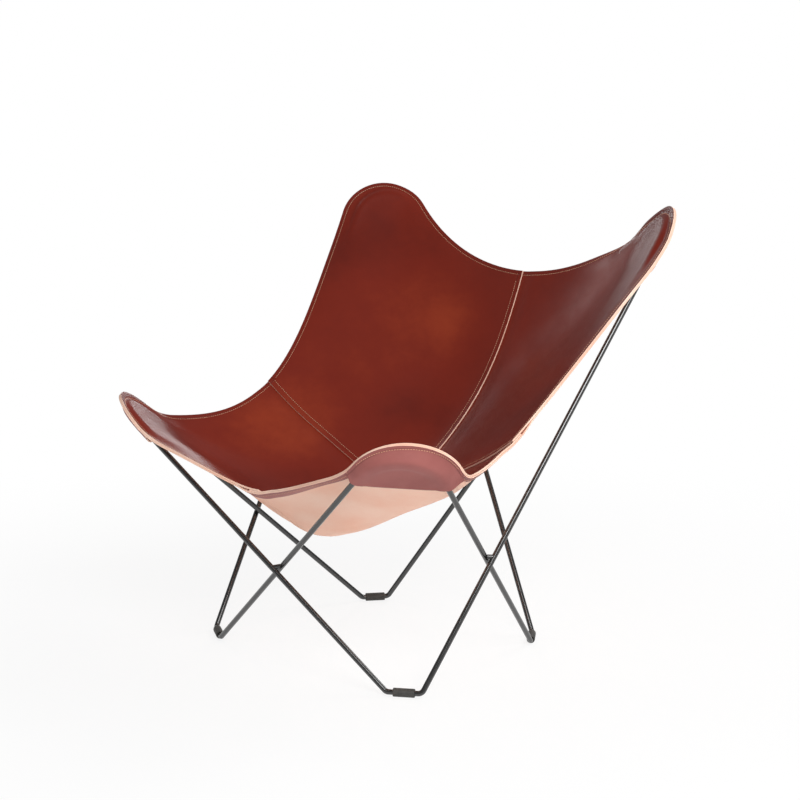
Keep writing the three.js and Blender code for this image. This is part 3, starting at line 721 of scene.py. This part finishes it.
def stitch_line_group():
    """Furrow where stitches pull the leather in, at set distances from its edge and its seams."""
    tree, given, out = node_group(
        "stitch_line", {"Inset": (FLOAT, 9.0), "Width": (FLOAT, 1.6)}, {"Furrow": FLOAT, "Rim": FLOAT})
    edge = add(tree, "ShaderNodeAttribute", (-1200, 100), attribute_name="edge_mm").outputs["Fac"]
    seam = add(tree, "ShaderNodeAttribute", (-1200, -100), attribute_name="seam_mm").outputs["Fac"]
    past_row = maths(tree, "SUBTRACT", (-1000, 100), edge, given["Inset"])
    nearest = maths(tree, "MINIMUM", (-600, 0), maths(tree, "ABSOLUTE", (-800, 100), past_row), seam)
    share = maths(tree, "DIVIDE", (-400, 0), nearest, given["Width"])
    feed(tree, out, {"Furrow": ranged(tree, (-200, 0), share, (1.0, 0.0), kind="SMOOTHSTEP"),
                     "Rim": ranged(tree, (-200, 300), edge, (14.0, 2.0), kind="SMOOTHSTEP")})
    return tree


HIDE_TONE, HIDE_GRAIN, STITCH_LINE = hide_tone_group(), hide_grain_group(), stitch_line_group()


def use_group(tree, group, spot, inputs=None):
    return add(tree, "ShaderNodeGroup", spot, inputs, node_tree=group).outputs


def new_material(name, specular=0.5):
    material = bpy.data.materials.new(name)
    material.use_nodes = True
    tree = material.node_tree
    surface = tree.nodes["Principled BSDF"].inputs
    surface["Specular IOR Level"].default_value = specular
    return material, tree, surface


def finished_leather(name, dark, middle_tone, light, gloss):
    """Dyed and polished grain side: cloudy tone, fine pores, satin gloss, a rim darker towards the free edge
    and painted shade in the stitch furrows and along the seams.
    """
    material, tree, surface = new_material(name, 0.25)
    tone = use_group(tree, HIDE_TONE, (-900, 300), {"Dark": dark, "Middle": middle_tone, "Light": light})
    grain = use_group(tree, HIDE_GRAIN, (-900, 0))
    line = use_group(tree, STITCH_LINE, (-900, -300), {"Inset": STITCH.inset})
    # The tone is darkened within 14 mm of the free edge.
    rim = maths(tree, "MULTIPLY", (-600, -300), line["Rim"], 0.35)
    edge_darkened = blend_colour(tree, (-400, 300), rim, tone["Color"], dark)
    # Painted shade: the colour is darkened towards deep brown in the stitch furrows and along the seams,
    # where the bump below also presses them in.
    furrow_shade = maths(tree, "MULTIPLY", (-600, -450), line["Furrow"], 0.3)
    colour = blend_colour(tree, (-200, 300), furrow_shade, edge_darkened, srgb(60, 18, 12))
    polish = ranged(tree, (-400, 0), tone["Cloud"], (0.3, 0.7), gloss)
    worn = maths(tree, "ADD", (-200, 0), polish, maths(tree, "MULTIPLY", (-400, -150), grain["Fine"], 0.06))
    swell = noise(tree, (-900, -600), object_place(tree, (-1100, -600)), 14.0, 2.0, 0.4)
    slow = bumped(tree, (-600, -600), swell, 1.0, 0.0016)
    fine = bumped(tree, (-400, -600), grain["Height"], 0.05, 0.0003, slow)
    pulled = bumped(tree, (-200, -600), line["Furrow"], 1.0, 0.0006, fine, invert=True)
    feed(tree, surface, {"Base Color": colour, "Roughness": worn, "Normal": pulled})
    return material


def raw_leather(name, dark, light, fibre):
    """Undyed flesh side or cut edge: matt, fibrous and slightly blotchy."""
    material, tree, surface = new_material(name, 0.25)
    place = object_place(tree, (-1200, 0))
    blotch = noise(tree, (-900, 300), place, 7.0, 4.0, 0.55)
    nap = noise(tree, (-900, 0), place, fibre, 6.0, 0.7)
    both = maths(tree, "ADD", (-700, 200), maths(tree, "MULTIPLY", (-800, 300), blotch, 0.7),
                 maths(tree, "MULTIPLY", (-800, 100), nap, 0.3))
    share = ranged(tree, (-500, 200), both, (0.36, 0.64))
    feed(tree, surface, {"Base Color": blend_colour(tree, (-300, 200), share, dark, light),
                         "Roughness": ranged(tree, (-500, -50), nap, (0.0, 1.0), (0.78, 0.95)),
                         "Normal": bumped(tree, (-300, -250), nap, 0.35, 0.0004)})
    return material


def plain_finish(name, dark, light, tone, spread, gloss, relief, strength, distance=0.0001, specular=0.5):
    """One finish all over. Tone and relief are noise, each given as its scale, detail and roughness."""
    material, tree, surface = new_material(name, specular)
    place = object_place(tree, (-1000, 0))
    height = noise(tree, (-800, 0), place, *relief)
    cloud = noise(tree, (-800, 300), place, *tone)
    share = ranged(tree, (-600, 300), cloud, spread)
    feed(tree, surface, {"Base Color": blend_colour(tree, (-400, 300), share, dark, light),
                         "Roughness": ranged(tree, (-400, 50), cloud, (0.0, 1.0), gloss),
                         "Normal": bumped(tree, (-400, -200), height, strength, distance)})
    return material


# Glossy black lacquer with a faint orange-peel, spark-eroded grey plastic and waxed thread
LACQUER = plain_finish(
    "black_lacquer", srgb(12, 11, 11), srgb(22, 20, 20), tone=(30.0, 2.0, 0.5), spread=(0.35, 0.75),
    gloss=(0.18, 0.24), relief=(420.0, 2.0, 0.4), strength=0.004, specular=1.0)
SLEEVE_PLASTIC = plain_finish(
    "sleeve_plastic", srgb(58, 57, 55), srgb(80, 78, 75), tone=(90.0, 5.0, 0.7), spread=(0.4, 0.8),
    gloss=(0.55, 0.7), relief=(1800.0, 3.0, 0.6), strength=0.25)
THREAD = plain_finish(
    "waxed_thread", srgb(206, 140, 104), srgb(238, 190, 160), tone=(1500.0, 2.0, 0.5), spread=(0.0, 1.0),
    gloss=(0.45, 0.65), relief=(1500.0, 2.0, 0.5), strength=0.3, distance=0.0002)
BROWN_LEATHER = finished_leather(
    "brown_leather", srgb(100, 24, 11), srgb(120, 33, 17), srgb(148, 54, 28), (0.4, 0.3))
# Painted sheen: the brown finished side of the pockets and bands is lightened to mauve, standing in for the
# white sheen it shows at grazing angles.
SHEEN_PAINTED_LEATHER = finished_leather(
    "brown_leather_painted_sheen", srgb(140, 78, 74), srgb(164, 98, 93), srgb(180, 116, 108), (0.5, 0.4))
TAN_FLESH = raw_leather("tan_flesh_side", srgb(248, 195, 171), srgb(255, 219, 200), 500.0)
CUT_EDGE = raw_leather("cut_edge", srgb(242, 192, 168), srgb(255, 222, 202), 1400.0)


# Rods: a round section drawn along the floor run, both legs and the bends between them

def bent_rod(name, loop, hump):
    first = unit(hump.front - loop.front_foot)
    last = unit(loop.back_foot - hump.back)
    here = loop.front_foot + first * ROD_BUTT_GAP / 2
    finish = loop.back_foot - last * ROD_BUTT_GAP / 2
    bpy.ops.mesh.primitive_circle_add(
        vertices=ROD_STEPS.round, radius=ROD_RADIUS * MM, fill_type="NGON", location=here * MM,
        rotation=Vector(first).to_track_quat("Z", "Y").to_euler())
    rod = bpy.context.object
    rod.name = name
    mode("EDIT")
    bpy.ops.mesh.select_all(action="SELECT")
    stops = [(hump.front, hump.corner, FLOOR_BEND, ROD_STEPS.floor_bend),
             (hump.corner, hump.back, hump.bend, ROD_STEPS.hump),
             (hump.back, finish, FLOOR_BEND, ROD_STEPS.floor_bend)]
    for corner, after, bend, steps in stops:
        inward, outward = unit(here - corner), unit(after - corner)
        half = math.acos(inward @ outward) / 2
        tangent = corner + inward * bend / math.tan(half)
        bpy.ops.mesh.extrude_region_move(TRANSFORM_OT_translate={"value": (tangent - here) * MM})
        centre = corner + unit(inward + outward) * bend / math.sin(half)
        axis = unit(np.cross(inward, outward))
        bpy.ops.mesh.spin(steps=steps, angle=math.pi - 2 * half, center=centre * MM, axis=axis)
        here = corner + outward * bend / math.tan(half)
    bpy.ops.mesh.extrude_region_move(TRANSFORM_OT_translate={"value": (finish - here) * MM})
    mode("OBJECT")
    finish_piece(rod, name, LACQUER)


# Floor sleeves: a tube with eased ends, cut flat where it stands

def select_only(obj, kind, test):
    """Edit mode with nothing selected but the edges or polygons that pass the test."""
    mode("OBJECT")
    mesh = obj.data
    for item in [*mesh.vertices, *mesh.edges, *mesh.polygons]:
        item.select = False
    for item in getattr(mesh, kind):
        item.select = test(item)
    mode("EDIT")


def floor_sleeve(name, centre, run):
    turn = math.atan2(run[1], run[0])
    bpy.ops.mesh.primitive_cylinder_add(
        vertices=SLEEVE.sides, radius=SLEEVE.radius * MM, depth=SLEEVE.length * MM, end_fill_type="NGON",
        location=centre * MM, rotation=(0, math.pi / 2, turn))
    sleeve = bpy.context.object
    sleeve.name = name
    mode("EDIT")
    bpy.ops.mesh.select_mode(type="FACE")
    select_only(sleeve, "polygons", lambda face: abs(face.normal.z) > 0.9)
    bpy.ops.mesh.inset(thickness=(SLEEVE.radius - SLEEVE.bore) * MM, use_individual=True)
    bpy.ops.mesh.delete(type="FACE")
    bpy.ops.mesh.select_mode(type="EDGE")
    between = (SLEEVE.bore + SLEEVE.radius) / 2 * MM

    def on_ring(edge, outside):
        a, b = (sleeve.data.vertices[i].co for i in edge.vertices)
        return all((end.xy.length > between) == outside for end in (a, b)) and abs(a.z - b.z) < 1e-6

    select_only(sleeve, "edges", lambda edge: on_ring(edge, False))
    bpy.ops.mesh.bridge_edge_loops()
    select_only(sleeve, "edges", lambda edge: on_ring(edge, True))
    bpy.ops.mesh.bevel(offset=SLEEVE.round * MM, segments=4, affect="EDGES")
    select_only(sleeve, "edges", lambda edge: on_ring(edge, False))
    bpy.ops.mesh.bevel(offset=SLEEVE.bore_round * MM, segments=2, affect="EDGES")
    bpy.ops.mesh.select_all(action="SELECT")
    bpy.ops.mesh.bisect(plane_co=(0, 0, 0), plane_no=(0, 0, -1), use_fill=True, clear_outer=True)
    mode("OBJECT")
    finish_piece(sleeve, name, SLEEVE_PLASTIC, 30)


for side, loop in LOOPS.items():
    other = "left" if side == "right" else "right"
    bent_rod(f"rod_back_{side}", loop, loop.back_hump)
    bent_rod(f"rod_front_{other}", loop, loop.front_hump)
    floor_sleeve(f"sleeve_front_{side}", loop.front_foot, loop.front_run)
    floor_sleeve(f"sleeve_back_{other}", loop.back_foot, loop.back_run)

for name in ("weld_front", "weld_right", "weld_left", "weld_back"):
    dress(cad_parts[name], LACQUER)


# Stitches: one stitch repeated along a line on the leather

def stitch_row(name, path):
    """A sphere 1 mm wide, stretched to a stitch, repeated by an array and bent to a path in millimetres."""
    bpy.ops.mesh.primitive_uv_sphere_add(
        segments=8, ring_count=5, radius=0.5 * MM, location=(0, 0, 0), rotation=(0, math.pi / 2, 0))
    stitch = bpy.context.object
    stitch.name = name
    bpy.ops.object.transform_apply()
    mode("EDIT")
    bpy.ops.mesh.select_all(action="SELECT")
    bpy.ops.transform.resize(value=(STITCH.length, STITCH.width, STITCH.height))
    bpy.ops.transform.translate(value=(STITCH.pitch / 2 * MM, 0, 0))
    mode("OBJECT")
    guide = bpy.data.curves.new(name + "_guide", "CURVE")
    guide.dimensions = "3D"
    spline = guide.splines.new("POLY")
    spline.points.add(len(path) - 1)
    spline.points.foreach_set("co", np.c_[path * MM, np.ones(len(path))].ravel())
    line = new_object(name + "_guide", guide)
    count = int(np.linalg.norm(np.diff(path, axis=0), axis=1).sum() // STITCH.pitch)
    array = stitch.modifiers.new("repeat", "ARRAY")
    array.use_relative_offset = False
    array.use_constant_offset = True
    array.constant_offset_displace = (STITCH.pitch * MM, 0, 0)
    array.count = count
    bend = stitch.modifiers.new("follow", "CURVE")
    bend.object = line
    apply_modifiers(stitch)
    bpy.data.objects.remove(line)
    only(stitch)
    bpy.ops.object.shade_smooth()
    dress(stitch, THREAD)
    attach(stitch, "root")
    return stitch


def resample(path, step):
    whole = lengths(path)[-1]
    return at_lengths(path, np.linspace(0, whole, max(2, int(whole / step))))


def inset_places(edge_places, inset):
    """Points in plan a set distance inside the free edge, measured over the leather."""
    points, normals = sheet(edge_places)
    inward = np.cross(normals, units(np.gradient(points, axis=0)))
    if np.mean(np.einsum("ij,ij->i", inward[:, :2], CENTRE - edge_places)) < 0:
        inward = -inward
    return (points + inward * inset)[:, :2]


# Leather: four quarter panels, a pocket on each hump and a band under each free edge

def panel_piece(name):
    places, points, normals = panel_grid(name)
    return leather_sheet("panel_" + name, points, normals, LEATHER.panel,
                         (BROWN_LEATHER, TAN_FLESH, CUT_EDGE), seam_distance(places))


def under_piece(name, points, normals):
    return leather_sheet(name, points, normals, LEATHER.under, (TAN_FLESH, SHEEN_PAINTED_LEATHER, CUT_EDGE),
                         np.full(points.shape[:2], FAR_FROM_SEAM))


def pocket_columns(name):
    """The panel's columns, with the first and last that its pocket holds."""
    columns, hump = panel_columns(name), FRAMES[name]
    held = [i for i, (*_, point) in enumerate(columns)
            if point is not None and hump_place(hump, point)[1] < hump.pocket.corner_down]
    return columns, held[0], held[-1]


def mouth_points(pocket, start, finish, count):
    half = math.copysign(pocket.mouth_half, finish[0])
    down = pocket.mouth_down
    path = np.vstack([
        bezier([start, (-half, down), (-half / 2, down)], 40),
        bezier([(-half / 2, down), (half / 2, down)], 40)[1:],
        bezier([(half / 2, down), (half, down), finish], 40)[1:],
    ])
    return at_lengths(path, lengths(path)[-1] * (1 - np.cos(np.pi * np.linspace(0, 1, count))) / 2)


def pocket_grid(name):
    hump = FRAMES[name]
    columns, first, last = pocket_columns(name)
    used = columns[first:last + 1]
    rim_shares = np.array([1, 0.998, 0.995, 0.992, 0.989])
    places = grid_places(used, rim_shares)
    rim_points, rim_normals = sheet(places, STACK)
    corner_places = grid_places([used[0], used[-1]], np.array([POCKET_FORM.corner_share]))
    corners, _ = sheet(corner_places, STACK)
    ends = [hump_place(hump, corners[0, i])[:2] for i in (0, 1)]
    mouths = mouth_points(hump.pocket, ends[0], ends[1], len(used))
    across, down, height, outside = hump_place(hump, rim_points[-1])
    rows, row_normals = list(rim_points), list(rim_normals)
    for share in np.linspace(0, 1, POCKET_FORM.rows)[1:]:
        a, d = mix(across, mouths[:, 0], share), mix(down, mouths[:, 1], share)
        flat = hump.centre + a[:, None] * hump.across + d[:, None] * hump.down
        _, _, _, out = hump_place(hump, flat)
        ramp = np.clip((outside - out) / (outside - POCKET_LAND), 0, 1)
        level = mix(height, -CLEAR_BELOW, smooth(ramp, 0, 1) * 0.5 + ramp * 0.5)
        hollow = POCKET_FORM.hollow * smooth(-out, POCKET_FORM.hollow_start, POCKET_FORM.hollow_end)
        off_rod = (out - POCKET_FORM.print_at) / POCKET_FORM.print_width
        level = level + hollow - POCKET_FORM.print * np.exp(-off_rod ** 2)
        rows.append(flat + hump.normal * level[:, None])
        row_normals.append(np.tile(hump.normal, (len(a), 1)))
    points = np.array(rows)
    slopes = units(np.cross(np.gradient(points, axis=1), np.gradient(points, axis=0)))
    slopes *= np.sign(slopes @ hump.normal)[..., None]
    blend = smooth(np.arange(len(points)), 2, 8)[:, None, None]
    return points, units(np.array(row_normals) * (1 - blend) + slopes * blend)


def band_piece(seam):
    before, after, *_ = EDGES[seam]
    before_columns, _, before_last = pocket_columns(before)
    after_columns, after_first, _ = pocket_columns(after)
    skip = len([1 for offset in LAP_COLUMNS if offset <= 0])
    columns = before_columns[before_last:len(before_columns) - skip + 1] + after_columns[skip:after_first + 1]
    places = grid_places(columns, np.linspace(BAND_SHARE[seam], 1, BAND_ROWS))
    points, normals = sheet(places, STACK + LAYER * dive(places, seam))
    for end, near in ((0, 1), (-1, -2)):
        gap = POCKET_GAP / np.linalg.norm(points[:, end] - points[:, near], axis=1, keepdims=True)
        points[:, end] = mix(points[:, end], points[:, near], gap)
    return under_piece("band_" + seam, points, normals)


def free_edge_places(name):
    """The panel's own part of the outline in plan, between its two seams."""
    (first, second), _ = PANELS[name]
    sweep = turned(SEAMS[second], SEAMS[first])
    angles = [a for a in turned(OUTLINE_ANGLE, SEAMS[first]) if 0 < a < sweep]
    angles = wrapped(np.array([0] + sorted(angles) + [sweep]) + SEAMS[first])
    return np.vstack([radial(a, np.array([1.0])) for a in angles])


def pocket_stitches(name):
    """A row through the pocket, a stitch's inset below its rim."""
    points, normals = pocket_grid(name)
    outer = points - normals * LEATHER.under / 2
    path = [at_lengths(outer[:, i], STITCH.inset - LEATHER.under / 2) for i in range(3, outer.shape[1] - 3)]
    return stitch_row("stitches_pocket_" + name, resample(np.array(path), STITCH.pitch))


def edge_stitches(name):
    """Rows through the panel and what is under it: one on top, two along the bands and one on the pocket."""
    _, under = PANELS[name]
    places = resample(inset_places(free_edge_places(name), STITCH.inset), STITCH.pitch)
    top, _ = sheet(places, dive_depth(places, under) - LEATHER.panel / 2)
    row = stitch_row("stitches_top_" + name, top)
    low, _ = sheet(places, STACK + LEATHER.under / 2 + dive_depth(places, SEAMS))
    columns, first, last = pocket_columns(name)
    start = SEAMS[PANELS[name][0][0]]
    before = 0.1  # so that a place just before the seam doesn't come out a whole turn later
    angle = turned(polar(places)[0], start - before) - before
    held = [turned(float(polar(columns[i][4][:2])[0]), start) for i in (first, last)]
    band_rows = [stitch_row(f"stitches_band_{name}_{end}", low[part])
                 for end, part in (("first", angle < held[0]), ("second", angle > held[1]))]
    return row, band_rows + [pocket_stitches(name)]


def seam_stitches(seam):
    end = 1 - (STITCH.inset - 1) / outline_radius(SEAMS[seam])
    shares = np.linspace(SEAM_STEPS.start, end, SEAM_STEPS.count)
    places = resample(radial(SEAMS[seam], shares), STITCH.pitch)
    top, _ = sheet(places, -LEATHER.panel / 2)
    low, _ = sheet(places, np.full(len(places), LAYER + LEATHER.panel / 2))
    return stitch_row("stitches_seam_" + seam, top), stitch_row("stitches_seam_under_" + seam, low)


edge_rows = {name: edge_stitches(name) for name in PANELS}
seam_rows = {seam: seam_stitches(seam) for seam in SEAMS}
for name in PANELS:
    obj, area = panel_piece(name)
    pocket, area = under_piece("pocket_" + name, *pocket_grid(name))
for seam, (before, after, *_) in EDGES.items():
    band, area = band_piece(seam)


# Floor, light and camera

def floor():
    bpy.ops.mesh.primitive_plane_add(size=60, location=(0, 0, 0))
    plane = bpy.context.object
    plane.name = "studio_floor"
    material, tree, surface = new_material("floor_paint")
    place = object_place(tree, (-900, 0))
    faint = noise(tree, (-700, 0), place, 3.0, 3.0, 0.5)
    paint = blend_colour(tree, (-400, 0), faint, (0.93, 0.93, 0.93, 1), (0.95, 0.95, 0.95, 1))
    feed(tree, surface, {"Base Color": paint, "Roughness": 0.8})
    away = add(tree, "ShaderNodeVectorMath", (-700, -300), {0: place}, operation="LENGTH").outputs["Value"]
    far = ranged(tree, (-500, -300), away, (0.5, 1.9), (0.84, 1.0), "SMOOTHSTEP")
    ray = add(tree, "ShaderNodeLightPath", (-700, -500)).outputs
    mirrored_ray = maths(tree, "MAXIMUM", (-600, -600), ray["Is Glossy Ray"], ray["Is Transmission Ray"])
    seen = maths(tree, "MAXIMUM", (-450, -500), ray["Is Camera Ray"], mirrored_ray)
    white = add(tree, "ShaderNodeEmission", (-300, -300), {"Color": (1, 1, 1, 1), "Strength": 1.0})
    shader = tree.nodes["Principled BSDF"].outputs[0]
    both = add(tree, "ShaderNodeMixShader", (300, 0),
               {0: maths(tree, "MULTIPLY", (-300, -500), far, seen), 1: shader, 2: white.outputs[0]})
    tree.links.new(both.outputs[0], tree.nodes["Material Output"].inputs[0])
    plane.data.materials.append(material)


def studio_light():
    world = bpy.data.worlds.new("studio")
    bpy.context.scene.world = world
    world.use_nodes = True
    tree = world.node_tree
    tree.nodes.clear()
    ray = add(tree, "ShaderNodeLightPath", (-800, 200)).outputs
    seen = maths(tree, "MAXIMUM", (-600, 200), ray["Is Camera Ray"], ray["Is Transmission Ray"])
    strength = ranged(tree, (-400, 200), seen, (0.0, 1.0), (0.32, 1.0))
    light = add(tree, "ShaderNodeBackground", (-200, 0), {"Color": (1, 1, 1, 1), "Strength": strength})
    add(tree, "ShaderNodeOutputWorld", (0, 0), {0: light.outputs[0]})
    lamps = {
        "front_softbox": ((2.9, -1.6, 2.6), 2.0, 1.6, 108),
        "left_strip": ((-2.8, 0.6, 2.55), 0.35, 0.4, 10),
        "rear_strip": ((-2.12, 2.07, 1.05), 0.25, 0.8, 3.6),
        "back_softbox": ((0.8, 2.8, 2.8), 2.0, 1.2, 46),
    }
    for name, (spot, width, height, power) in lamps.items():
        lamp = bpy.data.lights.new(name, "AREA")
        lamp.shape = "RECTANGLE"
        lamp.size, lamp.size_y = width, height
        lamp.energy = power
        obj = new_object(name, lamp)
        obj.location = spot
        aim = Vector((0, 0, 0.45)) - Vector(spot)
        obj.rotation_euler = aim.to_track_quat("-Z", "Y").to_euler()


CAMERA = SimpleNamespace(azimuth=43.69, elevation=10.93, roll=-0.06, lens=93.575, shift_x=0.27, shift_y=-0.55,
                         target=(0.0267, -0.0077, 0.5218), distance=4.312, picture=800)


def photo_camera():
    azimuth, elevation, roll = (math.radians(a) for a in (CAMERA.azimuth, CAMERA.elevation, CAMERA.roll))
    back = Vector((math.sin(azimuth) * math.cos(elevation), -math.cos(azimuth) * math.cos(elevation),
                   math.sin(elevation)))
    right = Vector((math.cos(azimuth), math.sin(azimuth), 0))
    up = back.cross(right)
    tilted_right = right * math.cos(roll) + up * math.sin(roll)
    tilted_up = up * math.cos(roll) - right * math.sin(roll)
    data = bpy.data.cameras.new("photo_camera")
    data.sensor_width = 36
    data.lens = CAMERA.lens
    data.shift_x = CAMERA.shift_x / CAMERA.picture
    data.shift_y = CAMERA.shift_y / CAMERA.picture
    data.clip_end = 100
    camera = new_object("photo_camera", data)
    camera.matrix_world = Matrix.Translation(Vector(CAMERA.target) + back * CAMERA.distance) @ Matrix(
        (tilted_right, tilted_up, back)).transposed().to_4x4()
    bpy.context.scene.camera = camera


floor()
studio_light()
photo_camera()
bpy.context.scene.view_settings.view_transform = "Standard"
